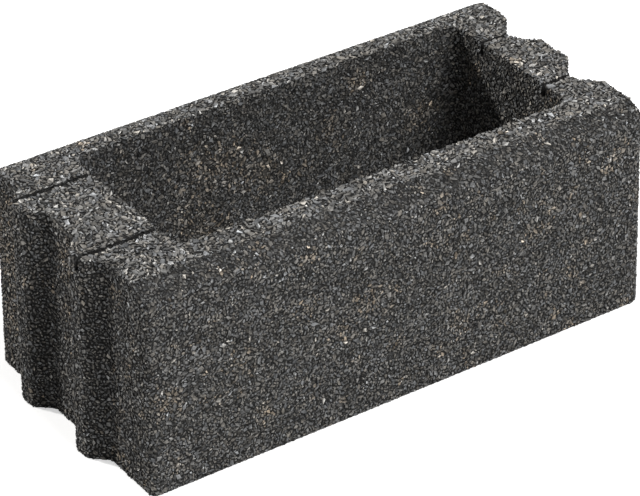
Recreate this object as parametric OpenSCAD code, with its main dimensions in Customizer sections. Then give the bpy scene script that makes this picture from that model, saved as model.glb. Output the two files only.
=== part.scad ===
// Hollow concrete wall block with two upright tongues at one end and two grooves at the other.
// Standing as laid, tongue end to -X, the foot on z = 0, the box round it centred on the origin.
// The front wall, to -Y, is thicker than the back one and has a bevel along its top.

/* [Block] */
// Length at the foot, from end land to end land
block_l = 500; // [400:1:600]
// Width at the foot, across the two long walls
block_w = 240; // [225:1:270]
// Height of one course
block_h = 190; // [150:1:250]
// Lean of the outer faces: what each side loses by the top
outer_draft = 3; // [1:0.5:4]
// Rounding of the upright edges beside the tongues, at the foot
tongue_edge_r = 6; // [6:1:18]
// Rounding of the upright edges beside the grooves, at the foot
groove_edge_r = 14; // [6:1:18]
// Width of the bevel along the top of the front wall, seen from above
bevel_w = 22; // [12:1:28]
// Drop of that bevel to the front face
bevel_h = 9; // [4:0.5:14]
// Rounding where the bevel meets the front face
bevel_r = 6; // [2:0.5:10]
// Rounding along the top of the back wall
back_edge_r = 6; // [2:1:10]

/* [Cavity] */
// Thickness of the front wall at the top, its bevel included
front_wall_t = 46.5; // [36:0.5:60]
// Thickness of the back wall at the top
back_wall_t = 23.5; // [18:0.5:36]
// Thickness of the web behind the tongues at the top, from its land
tongue_web_t = 58.5; // [44:0.5:66]
// Thickness of the web behind the grooves at the top, from its land
groove_web_t = 44.5; // [36:0.5:60]
// Lean of the cavity faces: what each side loses by the foot
cavity_draft = 4; // [1:0.5:6]
// Rounding of the cavity's upright corners at the top
cavity_r = 14; // [10:1:20]

/* [Tongues and grooves] */
// Distance between the two tongues, centre to centre
tongue_pitch = 88; // [80:1:96]
// Shift of the tongue pair from the middle of the width towards the back wall
tongue_shift = 9; // [0:1:12]
// Reach of a tongue past its land
tongue_reach = 15.5; // [12:0.5:18]
// Width of a tongue at its root
tongue_root_w = 45.5; // [42:0.5:52]
// Width of a tongue at its tip
tongue_tip_w = 17.5; // [14:0.5:20]
// Rounding of a tongue's two tip edges
tongue_tip_r = 9; // [3:0.5:10]
// Rounding where a tongue meets its land
tongue_root_r = 8; // [4:0.5:14]
// Room left all round a tongue in the groove of the next block
groove_gap = 1; // [0.5:0.5:2]

/* [Knock-out slots] */
// Distance between the two slots behind the tongues; behind the grooves they line up with these
slot_pitch = 102; // [86:1:108]
// Width of a slot
slot_w = 5; // [3:0.5:8]
// Depth of a slot below the top
slot_depth = 12; // [6:1:40]

/* [Hidden] */
$fn = 96;
eps = 1;
// roundings stand this much proud, and cones a little more by the top, so that they cross the faces
// instead of just touching them
seam = 0.02;
// room that the cutters take up beyond the block
reach = block_w / 4;
// the lands stand off centre by half a tongue, so the box round the whole is centred
land_left = -block_l / 2 + tongue_reach / 2;
land_right = block_l / 2 + tongue_reach / 2;
outer_angle = atan2(outer_draft, block_h);
cavity_l = block_l - 2 * outer_draft - tongue_web_t - groove_web_t;
cavity_w = block_w - 2 * outer_draft - front_wall_t - back_wall_t;
cavity_x = (land_left + land_right + tongue_web_t - groove_web_t) / 2;
cavity_y = (front_wall_t - back_wall_t) / 2;

// Half of a tongue seen from above, u outwards from the land and v across, with rounded tip and root
module tongue_half(reach_u, root_w, tip_w, tip_r, root_r) {
    flank = atan2(reach_u, (root_w - tip_w) / 2);
    tip_cut = tip_r * tan(flank / 2);
    root_cut = root_r * tan(flank / 2);
    polygon([
        [-eps, 0],
        [reach_u, 0],
        [reach_u, tip_w / 2 - tip_cut],
        [reach_u - tip_cut * sin(flank), tip_w / 2 + tip_cut * cos(flank)],
        [0, root_w / 2],
        [-eps, root_w / 2]
    ]);
    translate([reach_u - tip_r, tip_w / 2 - tip_cut])
        circle(r = tip_r + seam);
    difference() {
        polygon([
            [-eps, root_w / 2 - root_cut],
            [root_cut * sin(flank), root_w / 2 - root_cut * cos(flank)],
            [0, root_w / 2 + root_cut],
            [-eps, root_w / 2 + root_cut]
        ]);
        translate([root_r, root_w / 2 + root_cut])
            circle(r = root_r + seam);
    }
}

// The two tongues of an end, grown on all sides by a gap for the grooves
module tongue_pair(gap) {
    flank = atan2(tongue_reach, (tongue_root_w - tongue_tip_w) / 2);
    root_w = tongue_root_w + 2 * gap / sin(flank);
    tip_w = tongue_tip_w + 2 * gap * tan(flank / 2);
    for (side = [-1, 1])
        translate([0, tongue_shift + side * tongue_pitch / 2]) {
            tongue_half(tongue_reach + gap, root_w, tip_w, tongue_tip_r + gap, tongue_root_r - gap);
            mirror([0, 1])
                tongue_half(tongue_reach + gap, root_w, tip_w, tongue_tip_r + gap, tongue_root_r - gap);
        }
}

// All that lies outside the tongue end, leaning with it
module off_tongue_end() {
    translate([land_left, 0, 0])
        rotate([0, outer_angle, 0])
            translate([0, 0, -reach])
                linear_extrude(block_h + 2 * reach)
                    difference() {
                        translate([-reach, -block_w])
                            square([reach, 2 * block_w]);
                        mirror([1, 0])
                            tongue_pair(0);
                    }
}

// All that lies outside the groove end, leaning with it
module off_groove_end() {
    translate([land_right, 0, 0])
        rotate([0, -outer_angle, 0])
            translate([0, 0, -reach])
                linear_extrude(block_h + 2 * reach) {
                    translate([0, -block_w])
                        square([reach, 2 * block_w]);
                    mirror([1, 0])
                        tongue_pair(groove_gap);
                }
}

// All that lies outside the front wall: before its leaning face, over its bevel, round the edge between
module off_front_wall() {
    edge_z = block_h - bevel_h;
    edge_y = -block_w / 2 + outer_draft * edge_z / block_h;
    bevel_angle = atan2(bevel_h, bevel_w + outer_draft * bevel_h / block_h);
    past = 2 * bevel_w;
    apart = bevel_r / (1 + sin(outer_angle + bevel_angle));
    in_y = apart * (cos(outer_angle) + sin(bevel_angle));
    in_z = apart * (sin(outer_angle) + cos(bevel_angle));
    translate([-block_l, edge_y, edge_z])
        rotate([90, 0, 90])
            linear_extrude(2 * block_l) {
                polygon([
                    [0, 0],
                    [past, past * tan(bevel_angle)],
                    [-reach, past * tan(bevel_angle)],
                    [-reach, -edge_z - reach],
                    [-(edge_z + reach) * tan(outer_angle), -edge_z - reach]
                ]);
                difference() {
                    polygon([
                        [in_y, -in_z],
                        [in_y - bevel_r * sin(bevel_angle), bevel_r * cos(bevel_angle) - in_z],
                        [-eps, eps],
                        [in_y - bevel_r * cos(outer_angle), bevel_r * sin(outer_angle) - in_z]
                    ]);
                    translate([in_y, -in_z])
                        circle(r = bevel_r + seam);
                }
            }
}

// All that lies outside the back wall, leaning with it, and the rounding of its top edge
module off_back_wall() {
    axis_z = block_h - back_edge_r;
    axis_y = block_w / 2 - outer_draft * axis_z / block_h - back_edge_r / cos(outer_angle);
    translate([0, block_w / 2, 0])
        rotate([outer_angle, 0, 0])
            translate([-block_l, 0, -reach])
                cube([2 * block_l, reach, block_h + 2 * reach]);
    translate([-block_l, axis_y, axis_z])
        rotate([90, 0, 90])
            linear_extrude(2 * block_l)
                difference() {
                    polygon([
                        [0, 0],
                        [0, 2 * back_edge_r],
                        [2 * back_edge_r, 2 * back_edge_r],
                        [2 * back_edge_r * cos(outer_angle), 2 * back_edge_r * sin(outer_angle)]
                    ]);
                    circle(r = back_edge_r + seam);
                }
}

// What rounds one upright edge; the cone keeps its middle and follows both leaning faces
module off_upright_edge(edge_r, foot_x, out_x, out_y) {
    taper = outer_draft / block_h;
    translate([foot_x - out_x * edge_r, out_y * (block_w / 2 - edge_r), -eps])
        difference() {
            translate([out_x < 0 ? -2 * edge_r : 0, out_y < 0 ? -2 * edge_r : 0, 0])
                cube([2 * edge_r, 2 * edge_r, block_h + 2 * eps]);
            cylinder(
                r1 = edge_r + seam + taper * eps,
                r2 = edge_r + 3 * seam - taper * (block_h + eps),
                h = block_h + 2 * eps
            );
        }
}

// The cavity: two leaning slabs crossed, with a cone in each corner
module cavity() {
    taper = cavity_draft / block_h;
    rise = block_h + eps;
    for (turn = [0, 1]) {
        span = turn == 0 ? cavity_l : cavity_w;
        across = turn == 0 ? cavity_w : cavity_l;
        low = span / 2 - taper * rise;
        high = span / 2 + taper * eps;
        rotate([0, 0, 90 * turn])
            translate([0, across / 2 - cavity_r, 0])
                rotate([90, 0, 0])
                    linear_extrude(across - 2 * cavity_r)
                        polygon([[-low, -eps], [low, -eps], [high, rise], [-high, rise]]);
    }
    for (side_x = [-1, 1])
        for (side_y = [-1, 1])
            translate([side_x * (cavity_l / 2 - cavity_r), side_y * (cavity_w / 2 - cavity_r), -eps])
                cylinder(
                    r1 = cavity_r + seam - taper * rise,
                    r2 = cavity_r + 3 * seam + taper * eps,
                    h = rise + eps
                );
}

// The two slots that let the middle of a web be knocked out
module slot_pair(web_t, pitch) {
    for (side = [-1, 1])
        translate([0, side * pitch / 2 - slot_w / 2, block_h - slot_depth])
            cube([web_t + outer_draft + tongue_reach + cavity_r, slot_w, slot_depth + eps]);
}

module wall_block() {
    color("DimGray")
        difference() {
            translate([land_left - tongue_reach - eps, -block_w / 2 - eps, 0])
                cube([block_l + tongue_reach + 2 * eps, block_w + 2 * eps, block_h]);
            off_tongue_end();
            off_groove_end();
            off_front_wall();
            off_back_wall();
            for (side = [-1, 1]) {
                off_upright_edge(tongue_edge_r, land_left, -1, side);
                off_upright_edge(groove_edge_r, land_right, 1, side);
            }
            translate([cavity_x, cavity_y, 0])
                cavity();
            translate([land_left - tongue_reach - eps, cavity_y, 0])
                slot_pair(tongue_web_t, slot_pitch);
            translate([land_right - outer_draft - groove_web_t - cavity_r, tongue_shift, 0])
                slot_pair(groove_web_t, tongue_pitch);
        }
}

wall_block();
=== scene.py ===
import math
import bpy
import numpy as np
from mathutils import Matrix, Vector, bvhtree, kdtree


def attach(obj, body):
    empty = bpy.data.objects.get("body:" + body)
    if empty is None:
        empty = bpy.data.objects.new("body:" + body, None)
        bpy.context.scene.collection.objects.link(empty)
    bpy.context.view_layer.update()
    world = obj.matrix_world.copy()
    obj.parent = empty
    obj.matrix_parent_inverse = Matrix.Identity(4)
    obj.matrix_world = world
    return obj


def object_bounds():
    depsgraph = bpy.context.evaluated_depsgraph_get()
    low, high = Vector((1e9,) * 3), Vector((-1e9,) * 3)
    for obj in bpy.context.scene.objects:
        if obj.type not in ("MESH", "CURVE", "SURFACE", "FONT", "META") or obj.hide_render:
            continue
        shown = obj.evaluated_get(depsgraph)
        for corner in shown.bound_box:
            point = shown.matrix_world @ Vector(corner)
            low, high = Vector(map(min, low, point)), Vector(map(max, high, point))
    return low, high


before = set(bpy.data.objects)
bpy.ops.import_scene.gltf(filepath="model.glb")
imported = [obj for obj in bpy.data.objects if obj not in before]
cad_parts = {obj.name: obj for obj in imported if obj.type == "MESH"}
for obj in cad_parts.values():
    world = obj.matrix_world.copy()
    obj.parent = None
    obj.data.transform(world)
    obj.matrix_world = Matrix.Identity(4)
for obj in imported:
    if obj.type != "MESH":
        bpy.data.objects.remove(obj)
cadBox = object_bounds()
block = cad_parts["wall_block"]
print("frame loaded, box", [round(v, 4) for v in cadBox[0]], [round(v, 4) for v in cadBox[1]])

# where the block stands, read from the frame
footZ, topZ = cadBox[0].z, cadBox[1].z


def makeCamera():
    shot = {
        "place": (-1.34712, -2.00375, 1.63949),
        "azimuth": 33.9580,      # degrees, turned from +Y towards +X
        "down": 32.7804,         # degrees below level
        "roll": -0.6545,         # degrees
        "lens": 191.2769,        # millimetres
        "sensor": 36.0,
        "farthest": 50.0,        # metres
    }
    turn, tip = math.radians(shot["azimuth"]), math.radians(shot["down"])
    ahead = Vector((math.sin(turn) * math.cos(tip), math.cos(turn) * math.cos(tip), -math.sin(tip)))
    level = Vector((math.cos(turn), -math.sin(turn), 0))
    right = Matrix.Rotation(-math.radians(shot["roll"]), 3, ahead) @ level
    up = right.cross(ahead)
    data = bpy.data.cameras.new("shotCamera")
    data.lens, data.sensor_width, data.sensor_fit = shot["lens"], shot["sensor"], "HORIZONTAL"
    data.clip_end = shot["farthest"]
    camera = bpy.data.objects.new("shotCamera", data)
    turned = Matrix((right, up, -ahead)).transposed().to_4x4()
    camera.matrix_world = Matrix.Translation(shot["place"]) @ turned
    bpy.context.scene.collection.objects.link(camera)
    bpy.context.scene.camera = camera


def addSun(name, towards, strength, spread, colour):
    data = bpy.data.lights.new(name, "SUN")
    data.energy, data.angle, data.color = strength, math.radians(spread), colour
    lamp = bpy.data.objects.new(name, data)
    lamp.rotation_euler = Vector(towards).to_track_quat("Z", "Y").to_euler()
    bpy.context.scene.collection.objects.link(lamp)


def makeLight():
    light = {
        "keyFrom": (-0.42, 0.70, 0.58),      # over the back wall and the tongue end
        "keyStrength": 2.2,
        "keySpread": 4,                      # degrees
        "fillFrom": (0.25, -0.60, 0.755),    # over the front wall
        "fillStrength": 2.45,
        "fillSpread": 35,
        "sky": 0.18,
        "warm": (1.0, 0.985, 0.96),
        "plain": (1.0, 1.0, 1.0),
    }
    addSun("keyLamp", light["keyFrom"], light["keyStrength"], light["keySpread"], light["warm"])
    addSun("fillLamp", light["fillFrom"], light["fillStrength"], light["fillSpread"], light["plain"])
    world = bpy.data.worlds.new("studio")
    bpy.context.scene.world = world
    world.use_nodes = True
    nodes, links = world.node_tree.nodes, world.node_tree.links
    nodes.clear()
    # white behind the floor, dim as a light
    path = nodes.new("ShaderNodeLightPath")
    seen = nodes.new("ShaderNodeMath")
    seen.operation = "MAXIMUM"
    links.new(path.outputs["Is Camera Ray"], seen.inputs[0])
    links.new(path.outputs["Is Transmission Ray"], seen.inputs[1])
    level = nodes.new("ShaderNodeMapRange")
    level.inputs["To Min"].default_value = light["sky"]
    level.inputs["To Max"].default_value = 1.0
    links.new(seen.outputs[0], level.inputs["Value"])
    sky = nodes.new("ShaderNodeBackground")
    links.new(level.outputs["Result"], sky.inputs["Strength"])
    out = nodes.new("ShaderNodeOutputWorld")
    links.new(sky.outputs[0], out.inputs["Surface"])


def makeFloor():
    ground = {
        "half": 6.0,
        "drop": 0.0004,                 # below the foot, clear of its grains
        "colour": (0.86, 0.86, 0.86),
        "bounce": (0.42, 0.42, 0.42),   # what the block sees of it
        "lift": 0.54,                   # brings the lit floor up to white for the camera
    }
    mesh = bpy.data.meshes.new("floor")
    h = ground["half"]
    mesh.from_pydata([(-h, -h, 0), (h, -h, 0), (h, h, 0), (-h, h, 0)], [], [(0, 1, 2, 3)])
    floor = bpy.data.objects.new("floor", mesh)
    floor.location.z = footZ - ground["drop"]
    bpy.context.scene.collection.objects.link(floor)
    mat = bpy.data.materials.new("paleFloor")
    mat.use_nodes = True
    nodes, links = mat.node_tree.nodes, mat.node_tree.links
    nodes.clear()
    pale = nodes.new("ShaderNodeBsdfDiffuse")
    pale.inputs["Color"].default_value = (*ground["colour"], 1)
    dim = nodes.new("ShaderNodeBsdfDiffuse")
    dim.inputs["Color"].default_value = (*ground["bounce"], 1)
    glow = nodes.new("ShaderNodeEmission")
    glow.inputs["Strength"].default_value = ground["lift"]
    both = nodes.new("ShaderNodeAddShader")
    links.new(pale.outputs[0], both.inputs[0])
    links.new(glow.outputs[0], both.inputs[1])
    path = nodes.new("ShaderNodeLightPath")
    mix = nodes.new("ShaderNodeMixShader")
    links.new(path.outputs["Is Camera Ray"], mix.inputs["Fac"])
    links.new(dim.outputs[0], mix.inputs[1])
    links.new(both.outputs[0], mix.inputs[2])
    out = nodes.new("ShaderNodeOutputMaterial")
    links.new(mix.outputs[0], out.inputs["Surface"])
    mesh.materials.append(mat)


def startMaterial(name):
    mat = bpy.data.materials.new(name)
    mat.use_nodes = True
    nodes = mat.node_tree.nodes
    return mat, nodes, mat.node_tree.links, nodes["Principled BSDF"]


def addAttribute(nodes, name):
    node = nodes.new("ShaderNodeAttribute")
    node.attribute_name = name
    return node.outputs["Fac"]


def addRamp(nodes, links, value, stops):
    node = nodes.new("ShaderNodeValToRGB")
    ramp = node.color_ramp
    while len(ramp.elements) < len(stops):
        ramp.elements.new(0.5)
    for element, (at, colour) in zip(ramp.elements, stops):
        element.position = at
        element.color = (*colour, 1)
    links.new(value, node.inputs["Fac"])
    return node.outputs["Color"]


def addProduct(nodes, links, first, second, amount=None):
    mix = nodes.new("ShaderNodeMix")
    mix.data_type, mix.blend_type = "RGBA", "MULTIPLY"
    mix.inputs["Factor"].default_value = 1.0
    if amount is not None:
        links.new(amount, mix.inputs["Factor"])
    links.new(first, mix.inputs["A"])
    links.new(second, mix.inputs["B"])
    return mix.outputs["Result"]


def addNoise(nodes, links, place, scale, detail):
    noise = nodes.new("ShaderNodeTexNoise")
    noise.inputs["Scale"].default_value = scale
    noise.inputs["Detail"].default_value = detail
    links.new(place, noise.inputs["Vector"])
    return noise.outputs["Fac"]


def addRange(nodes, links, value, old, new):
    change = nodes.new("ShaderNodeMapRange")
    change.inputs["From Min"].default_value, change.inputs["From Max"].default_value = old
    change.inputs["To Min"].default_value, change.inputs["To Max"].default_value = new
    links.new(value, change.inputs["Value"])
    return change.outputs["Result"]


def addBump(nodes, links, height, depth, shader):
    bump = nodes.new("ShaderNodeBump")
    bump.inputs["Distance"].default_value = depth
    links.new(height, bump.inputs["Height"])
    links.new(bump.outputs["Normal"], shader.inputs["Normal"])


stoneLook = {
    # the last stop of this ramp is a painted glint, not a stone colour
    "greysAndGlint": [(0.0, (0.045, 0.044, 0.042)), (0.2, (0.165, 0.162, 0.156)), (0.45, (0.27, 0.266, 0.257)),
              (0.75, (0.355, 0.349, 0.336)), (0.97, (0.47, 0.46, 0.44)), (1.0, (0.85, 0.84, 0.81))],
    "cool": (0.94, 0.985, 1.06),
    "warm": (1.06, 1.0, 0.92),
}


def stoneColour(nodes, links, tone, hue):
    # grey by the stone's own tone, cool or warm by its hue; tones past 0.97 take the painted glint colour
    greysAndGlint = addRamp(nodes, links, tone, stoneLook["greysAndGlint"])
    tint = addRamp(nodes, links, hue, [(0.0, stoneLook["cool"]), (0.5, (1, 1, 1)), (1.0, stoneLook["warm"])])
    return addProduct(nodes, links, greysAndGlint, tint)


def chipStoneShadeAndGlint():
    look = {
        "beige": (1.90, 1.76, 1.58),     # times the stone's grey, where clay gathers
        "tan": (1.90, 1.66, 1.40),
        "roughness": (0.38, 0.72),
        "fleckScale": 900.0,             # per metre
        "fleckDetail": 2.0,
        "fleckSpan": (0.3, 0.7),         # what is used of the noise
        "flecks": (0.60, 1.40),          # and what it does to the colour
        "pitDepth": 0.0003,
        "shadeFadeFrom": 0.3,                 # how high on a chip the painted shade at its foot begins to fade
        "foot": 0.03,                    # how dark the painted shade is where the chip meets the paste
    }
    mat, nodes, links, shader = startMaterial("crushedStone")
    tone, hue = addAttribute(nodes, "grainTone"), addAttribute(nodes, "grainHue")
    clay, shadeRise = addAttribute(nodes, "grainClay"), addAttribute(nodes, "grainShadeRise")
    place = nodes.new("ShaderNodeTexCoord").outputs["Object"]
    grey = stoneColour(nodes, links, tone, hue)
    earth = addRamp(nodes, links, hue, [(0.0, look["beige"]), (1.0, look["tan"])])
    tanned = addProduct(nodes, links, grey, earth, clay)
    fleck = addNoise(nodes, links, place, look["fleckScale"], look["fleckDetail"])
    flecks = addRange(nodes, links, fleck, look["fleckSpan"], look["flecks"])
    flecked = addProduct(nodes, links, tanned, flecks)
    # painted shade at each chip's foot and at some corners of its head
    dark = addRange(nodes, links, shadeRise, (look["shadeFadeFrom"], 1), (look["foot"], 1))
    links.new(addProduct(nodes, links, flecked, dark), shader.inputs["Base Color"])
    links.new(addRange(nodes, links, hue, (0, 1), look["roughness"]), shader.inputs["Roughness"])
    addBump(nodes, links, fleck, look["pitDepth"], shader)
    return mat


def pasteAndGapShade():
    # the paste shows between the chips; its colour is kept near black and darkest at its cells' edges, as
    # painted shade in the gaps
    look = {
        "gritScale": 560.0,              # per metre
        "gapSpan": (0.02, 0.25),         # of the distance to a grain's edge
        "gap": (0.02, 0.16),             # painted shade: dark in the gaps, lighter on the grains
        "bumpDepth": 0.0012,
        "roughness": 0.85,
    }
    mat, nodes, links, shader = startMaterial("openPasteGapShade")
    place = nodes.new("ShaderNodeTexCoord").outputs["Object"]
    grit, edge = nodes.new("ShaderNodeTexVoronoi"), nodes.new("ShaderNodeTexVoronoi")
    edge.feature = "DISTANCE_TO_EDGE"
    for cells in (grit, edge):
        cells.inputs["Scale"].default_value = look["gritScale"]
        links.new(place, cells.inputs["Vector"])
    own = nodes.new("ShaderNodeSeparateColor")
    links.new(grit.outputs["Color"], own.inputs["Color"])
    colour = stoneColour(nodes, links, own.outputs["Red"], own.outputs["Green"])
    gap = addRange(nodes, links, edge.outputs["Distance"], look["gapSpan"], look["gap"])
    links.new(addProduct(nodes, links, colour, gap), shader.inputs["Base Color"])
    shader.inputs["Roughness"].default_value = look["roughness"]
    addBump(nodes, links, gap, look["bumpDepth"], shader)
    return mat


def blockTriangles():
    mesh = block.data
    mesh.calc_loop_triangles()
    count = len(mesh.loop_triangles)
    corner = np.empty(count * 3, np.int32)
    mesh.loop_triangles.foreach_get("vertices", corner)
    point = np.empty(len(mesh.vertices) * 3)
    mesh.vertices.foreach_get("co", point)
    corners = point.reshape(-1, 3)[corner.reshape(-1, 3)]
    cross = np.cross(corners[:, 1] - corners[:, 0], corners[:, 2] - corners[:, 0])
    size = np.linalg.norm(cross, axis=1)
    keep = size > 1e-14      # no slivers
    return corners[keep], cross[keep] / size[keep, None], size[keep] / 2


shape = {
    "cavityMiddle": (0.01475, 0.0115),
    "cavityHalf": (0.1995, 0.086),      # a little past its rim
    "endsWithin": 0.1,                  # the ends' lands and tongues lie nearer the middle
    "facing": 0.6,                      # how straight a face looks along an axis
    "bevelLean": 0.2,
    "slotRows": [(-1, 0.0625), (-1, -0.0395), (1, 0.053), (1, -0.035)],      # end, middle of the slot
    "slotHalf": 0.0027,
    "slotDepth": 0.0125,
    "slotWall": 0.95,                   # how straight a slot's wall looks across
    "slotFloor": 0.9,                   # and its floor up
    "floorUnder": 0.005,                # the floor lies lower than this under the top
}


def sortFaces(corners, normal):
    # each triangle's zone by where it lies and which way it looks
    x, y, z = corners.mean(axis=1).T
    up, along, across = normal[:, 2], np.abs(normal[:, 0]), np.abs(normal[:, 1])
    awayX, awayY = np.abs(x - shape["cavityMiddle"][0]), np.abs(y - shape["cavityMiddle"][1])
    inside = (awayX < shape["cavityHalf"][0]) & (awayY < shape["cavityHalf"][1])
    outer = np.abs(y) > shape["endsWithin"]
    onTop = up > shape["facing"]
    zone = np.where(x < 0, "tongueEnd", "grooveEnd").astype("<U12")
    zone[outer & (normal[:, 1] < -shape["facing"])] = "frontWall"
    zone[outer & (normal[:, 1] > shape["facing"])] = "backWall"
    zone[inside & (across < along)] = "cavityEnds"
    zone[inside & (across >= along) & (normal[:, 1] > 0)] = "cavityFront"
    zone[inside & (across >= along) & (normal[:, 1] <= 0)] = "cavityBack"
    zone[onTop] = "topBed"
    zone[onTop & (y < 0) & (normal[:, 1] < -shape["bevelLean"])] = "bevel"
    zone[up < -shape["facing"]] = "footBed"
    for end, middle in shape["slotRows"]:
        near = (x * end > 0) & (np.abs(y - middle) < shape["slotHalf"]) & (z > topZ - shape["slotDepth"])
        bottom = (up > shape["slotFloor"]) & (z < topZ - shape["floorUnder"])
        zone[near & ((across > shape["slotWall"]) | bottom)] = "slot"
    return zone


def clearSlots(places, radius, draw):
    # which chips stay on the top: most of those that would close the slots behind the tongues go
    edge = {
        "rows": 2,            # the first two slots; the others are nearly grown over
        "overhang": 0.2,      # of a chip's radius
        "openFrom": 0.204,    # from the middle; nearer the cavity the grains grow over the slot
        "leaning": 0.4,       # share of the chips that lean over the edge all the same
    }
    over = np.zeros(len(places), bool)
    for end, middle in shape["slotRows"][:edge["rows"]]:
        beside = np.abs(places[:, 1] - middle) < shape["slotHalf"] + edge["overhang"] * radius
        over |= beside & (places[:, 0] * end > edge["openFrom"])
    return ~over | (draw.random(len(places)) < edge["leaning"])


def scatterChips(corners, normal, area, grit, draw):
    # random places on the triangles, big stones first, none nearer another than their sizes allow
    radius = np.concatenate([np.full(int(share * area.sum()), size) for size, share in grit["sizes"]])
    radius *= draw.uniform(1 - grit["sizeSpread"], 1 + grit["sizeSpread"], len(radius))
    tries = len(radius)
    pick = draw.choice(len(area), tries, p=area / area.sum())
    a, b = draw.random((2, tries))
    fold = a + b > 1
    a, b = np.where(fold, 1 - a, a), np.where(fold, 1 - b, b)
    tri = corners[pick]
    places = tri[:, 0] + a[:, None] * (tri[:, 1] - tri[:, 0]) + b[:, None] * (tri[:, 2] - tri[:, 0])
    tree = kdtree.KDTree(tries)
    for i, place in enumerate(places):
        tree.insert(place, i)
    tree.balance()
    free = np.ones(tries, bool)
    biggest = radius.max()
    kept = []
    for i in range(tries):
        if free[i]:
            kept.append(i)
            for _, near, far in tree.find_range(places[i], grit["pack"] * (radius[i] + biggest)):
                if far < grit["pack"] * (radius[i] + radius[near]):
                    free[near] = False
    return places[kept], normal[pick[kept]], radius[kept]


def hugBlock(points, furthest, skin):
    # corners that hang out past an edge of the block are drawn back to it
    for i, point in enumerate(points):
        nearest, _, _, far = skin.find_nearest(point)
        if far > furthest[i]:
            points[i] = np.array(nearest) + (point - np.array(nearest)) * (furthest[i] / far)


# facets of one chip: corners 0 to 3 lie in the paste, 4 to 7 on top
facets = np.array([(0, 1, 5), (0, 5, 4), (1, 2, 6), (1, 6, 5), (2, 3, 7), (2, 7, 6), (3, 0, 4), (3, 4, 7),
                   (4, 5, 6), (4, 6, 7)])


def cutChips(places, normal, radius, grit, draw, skin):
    # the eight corners of each chip, and where they lie on its own flat
    count = len(places)
    levelFrom = 0.7      # a level face takes its side from X, a steep one from Z
    level = np.abs(normal[:, 2:3]) > levelFrom
    side = np.cross(normal, np.where(level, (1.0, 0, 0), (0, 0, 1.0)))
    side /= np.linalg.norm(side, axis=1)[:, None]
    other = np.cross(normal, side)
    stretch = np.sqrt(draw.uniform(1.0, grit["longest"], count))[:, None]
    spin = draw.uniform(0, 2 * np.pi, (count, 1))
    tilt = draw.normal(0, grit["tilt"], (count, 2))
    height = grit["height"] * radius * draw.uniform(1 - grit["heightSpread"], 1 + grit["heightSpread"], count)

    def ring(reach, jitter):
        wander = draw.uniform(-grit["turnSpread"], grit["turnSpread"], (count, 4))
        turn = (np.arange(4) + wander) * 2 * np.pi / 4
        far = reach * radius[:, None] * draw.uniform(1 - jitter, 1 + jitter, (count, 4))
        return far * np.cos(turn) * stretch, far * np.sin(turn) / stretch

    footX, footY = ring(grit["foot"], grit["footSpread"])
    headX, headY = ring(grit["head"], grit["headSpread"])
    u, v = np.hstack((footX, headX)), np.hstack((footY, headY))
    head = height[:, None] + tilt[:, :1] * headX + tilt[:, 1:] * headY
    proudest = np.where(np.abs(places[:, 1:2]) > grit["rimFrom"], grit["rimProud"], grit["proudest"])
    proud = np.clip(head, grit["thinnest"] * height[:, None], proudest)
    w = np.hstack((np.full((count, 4), -grit["sunk"]), proud))
    across, along = u * np.cos(spin) - v * np.sin(spin), u * np.sin(spin) + v * np.cos(spin)
    points = (places[:, None] + across[..., None] * side[:, None] + along[..., None] * other[:, None]
              + w[..., None] * normal[:, None]).reshape(-1, 3)
    furthest = grit["slack"] * np.hstack((np.full((count, 4), grit["sunk"]), np.repeat(proudest, 4, axis=1)))
    hugBlock(points, furthest.ravel(), skin)
    points[:, 2] = np.maximum(points[:, 2], footZ - grit["underFoot"])
    return points, across, along


def gatherClay(places, grit, draw):
    # tan grains gather in small clouds, thinner towards the rim of each
    middles = draw.choice(len(places), int(grit["clouds"] * len(places)))
    clouds = [(places[i], draw.uniform(*grit["cloudRadius"])) for i in middles]
    clouds += [(np.array(spot[:3]), spot[3]) for spot in grit["spots"]]
    clay = np.zeros(len(places))
    for middle, radius in clouds:
        far = np.linalg.norm(places - middle, axis=1) / radius
        taken = draw.random(len(places)) > grit["bare"] + (1 - grit["bare"]) * far
        clay = np.maximum(clay, np.where(taken, draw.uniform(grit["leastClay"], 1.0, len(places)), 0))
    return clay


def paintChips(mesh, places, grit, draw):
    # a chip's facets differ a little in tone; a few of them are set to the painted glint tone
    count, total = len(places), len(places) * len(facets)
    tone = np.repeat(draw.random(count), len(facets)) * (1 - grit["facetShare"])
    tone += draw.random(total) * grit["facetShare"]
    tone = grit["tones"][0] + tone * (grit["tones"][1] - grit["tones"][0])
    # painted highlights: these facets take the glint colour at the top of the ramp
    tone[draw.random(total) < grit["pale"]] = 1
    hue = np.repeat(draw.random(count), len(facets))
    clay = np.repeat(gatherClay(places, grit, draw), len(facets))
    for label, values in (("grainTone", tone), ("grainHue", hue), ("grainClay", clay)):
        mesh.attributes.new(label, "FLOAT", "FACE").data.foreach_set("value", values.astype(np.float32))
    # painted shade: dark where it meets the paste, and more or less so at the corners of its head
    head = draw.uniform(grit["dimmest"], grit["brightest"], (count, 4))
    shadeRise = np.hstack((np.zeros((count, 4)), head)).astype(np.float32)
    mesh.attributes.new("grainShadeRise", "FLOAT", "POINT").data.foreach_set("value", shadeRise.ravel())


def mapChips(mesh, faces, across, along):
    # each chip has a square of its own on the map, seen from straight above
    fill = 0.44      # half of what it takes up of that square
    count = len(across)
    cells = math.ceil(math.sqrt(count))
    reach = np.maximum(np.abs(across), np.abs(along)).max(axis=1)[:, None]
    cell = np.stack((np.arange(count) % cells, np.arange(count) // cells), -1)[:, None]
    flat = (cell + 0.5 + fill * np.stack((across / reach, along / reach), -1)) / cells
    chart = mesh.uv_layers.new(name="OFBake")
    chart.data.foreach_set("uv", flat.reshape(-1, 2)[faces.ravel()].astype(np.float32).ravel())


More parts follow.
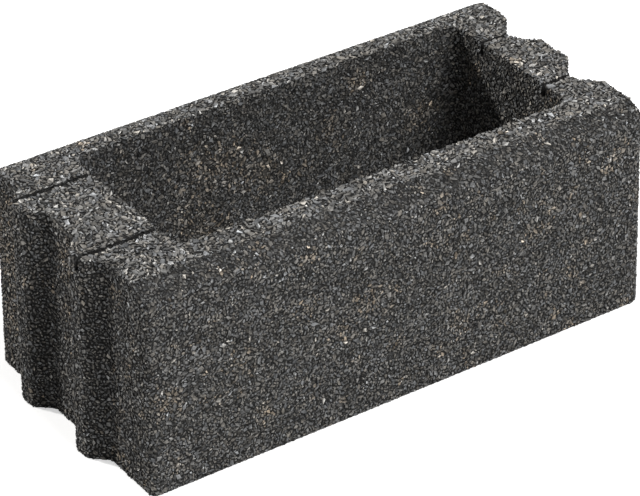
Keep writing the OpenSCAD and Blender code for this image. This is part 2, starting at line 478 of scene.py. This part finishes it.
def buildChips(name, places, normal, radius, grit, draw, skin):
    points, across, along = cutChips(places, normal, radius, grit, draw, skin)
    faces = (np.arange(len(places))[:, None, None] * 8 + facets).reshape(-1, 3)
    mesh = bpy.data.meshes.new(name)
    mesh.vertices.add(len(points))
    mesh.vertices.foreach_set("co", points.astype(np.float32).ravel())
    mesh.loops.add(faces.size)
    mesh.loops.foreach_set("vertex_index", faces.astype(np.int32).ravel())
    mesh.polygons.add(len(faces))
    mesh.polygons.foreach_set("loop_start", np.arange(0, faces.size, 3, dtype=np.int32))
    mesh.update(calc_edges=True)
    mesh.shade_flat()      # cut facets, not rounded ones
    paintChips(mesh, places, grit, draw)
    mapChips(mesh, faces, across, along)
    mesh.validate()
    piece = bpy.data.objects.new(name, mesh)
    bpy.context.scene.collection.objects.link(piece)
    return piece


def addChips(stone):
    firstSeed = 410
    moulded = {      # pressed against the mould, so their heads lie level
        # radius in metres, tries to a square metre
        "sizes": [(0.0021, 9000), (0.0016, 40000), (0.00125, 120000), (0.00095, 900000)],
        "sizeSpread": 0.15,
        "pack": 0.90,                # how near two chips may lie, of their two radii
        "longest": 1.9,              # length to width at most
        "tilt": 0.22,                # slope of a head
        "height": 0.40,              # of the radius
        "heightSpread": 0.6,
        "thinnest": 0.1,             # of the height
        "proudest": 0.0007,          # metres over the block
        "rimFrom": 1.0,              # further than this from the middle they stand lower
        "rimProud": 0.0008,
        "foot": 1.30,                # reach of the corners in the paste, of the radius
        "footSpread": 0.15,
        "head": 1.12,                # reach of the corners on top
        "headSpread": 0.22,
        "turnSpread": 0.25,          # of a quarter turn
        "sunk": 0.0005,              # metres under the block's face
        "slack": 1.05,               # how far past these a corner may stand off the block
        "underFoot": 0.0003,         # nothing hangs lower than this under the foot
        "tones": (0.02, 1.04),       # darkest and lightest
        "facetShare": 0.35,          # share of the tone that is each facet's own
        "pale": 0.018,               # share of facets painted as glints (painted highlights)
        "dimmest": 0.28,             # corners of a head, darkened at random as painted shade
        "brightest": 1.1,
        "clouds": 0.006,             # clouds of clay to a chip
        "cloudRadius": (0.005, 0.013),
        "bare": 0.10,                # share of chips without clay in the middle of a cloud
        "leastClay": 0.4,
        "spots": [],                 # clouds given one by one: place, radius
    }
    front = dict(moulded, spots=[
        (-0.029, -0.118, 0.107, 0.020), (-0.088, -0.118, 0.122, 0.016), (-0.156, -0.118, 0.094, 0.018),
        (-0.057, -0.119, 0.089, 0.018), (0.142, -0.118, 0.112, 0.020), (0.062, -0.119, 0.051, 0.020),
        (0.218, -0.118, 0.149, 0.014), (-0.225, -0.119, 0.085, 0.022), (-0.136, -0.119, 0.040, 0.016)])
    # the bevel's tones are darker as painted shade, since the lamps light it more than the front wall
    bevelShaded = dict(moulded, tones=(-0.12, 0.62))
    foot = dict(moulded, height=0.1, proudest=0.0003, tilt=0.03)
    # struck off level, so the stones of the top stand every way
    struck = dict(
        moulded, sizes=[(0.0026, 9000), (0.0019, 40000), (0.0014, 120000), (0.00105, 900000)],
        tilt=0.55, height=0.50, heightSpread=0.7, proudest=0.0016, rimFrom=0.106,
        # the top has many more painted glints
        pale=0.085, tones=(0.07, 1.04), dimmest=0.42, clouds=0.0012)
    # the ends are more open
    rough = dict(
        moulded, sizes=[(0.0024, 9000), (0.0018, 40000), (0.00135, 120000), (0.00105, 900000)],
        height=0.6, proudest=0.0011, tilt=0.35, foot=1.08, head=0.90,
        dimmest=0.3, tones=(0.10, 1.05), pale=0.03)
    # clay clouds on the tongue end are tan stains; the four on the back land, near y 0.1, also lighten it as
    # painted light
    tongued = dict(rough, spots=[
        (-0.241, 0.100, 0.160, 0.034), (-0.241, 0.098, 0.120, 0.036), (-0.241, 0.096, 0.085, 0.036),
        (-0.242, 0.096, 0.045, 0.034), (-0.240, 0.000, 0.170, 0.022), (-0.240, -0.003, 0.150, 0.022),
        (-0.240, -0.006, 0.125, 0.022), (-0.240, -0.073, 0.172, 0.018)])
    # darker tones on the cavity's long walls: painted shade inside the cavity
    innerShaded = dict(moulded, tones=(-0.05, 0.80), clouds=0.002, cloudRadius=(0.006, 0.016))
    innerBack = dict(innerShaded, spots=[
        (-0.057, 0.092, 0.138, 0.034), (-0.027, 0.092, 0.130, 0.034), (0.005, 0.092, 0.112, 0.030),
        (-0.070, 0.091, 0.091, 0.028), (-0.050, 0.091, 0.076, 0.028), (0.178, 0.092, 0.115, 0.022),
        (0.076, 0.092, 0.130, 0.022)])
    innerEnds = dict(rough, tones=(0.14, 1.14), cloudRadius=(0.008, 0.024))
    zones = {
        "frontWall": front, "backWall": moulded, "tongueEnd": tongued, "grooveEnd": rough,
        "cavityFront": innerShaded, "cavityBack": innerBack, "cavityEnds": innerEnds, "topBed": struck,
        "footBed": foot, "bevel": bevelShaded,
    }
    corners, normal, area = blockTriangles()
    zone = sortFaces(corners, normal)
    triangles = np.arange(len(corners) * 3).reshape(-1, 3)
    skin = bvhtree.BVHTree.FromPolygons(corners.reshape(-1, 3).tolist(), triangles.tolist())
    total = 0
    for number, (name, grit) in enumerate(zones.items()):
        draw = np.random.default_rng(firstSeed + number)
        own = zone == name
        places, outward, radius = scatterChips(corners[own], normal[own], area[own], grit, draw)
        if name == "topBed":
            stay = clearSlots(places, radius, draw)
            places, outward, radius = places[stay], outward[stay], radius[stay]
        piece = buildChips(name + "Chips", places, outward, radius, grit, draw, skin)
        piece.data.materials.append(stone)
        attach(piece, "root")
        total += len(piece.data.polygons)
        print(name, "area", round(float(area[own].sum()), 4), "chips", len(places))
    print("facets in all", total)


bpy.context.scene.view_settings.view_transform = "Standard"
makeCamera()
makeLight()
makeFloor()
print("camera, lamps and floor set")
block.data.materials.clear()
block.data.materials.append(pasteAndGapShade())
addChips(chipStoneShadeAndGlint())
print("chips laid")
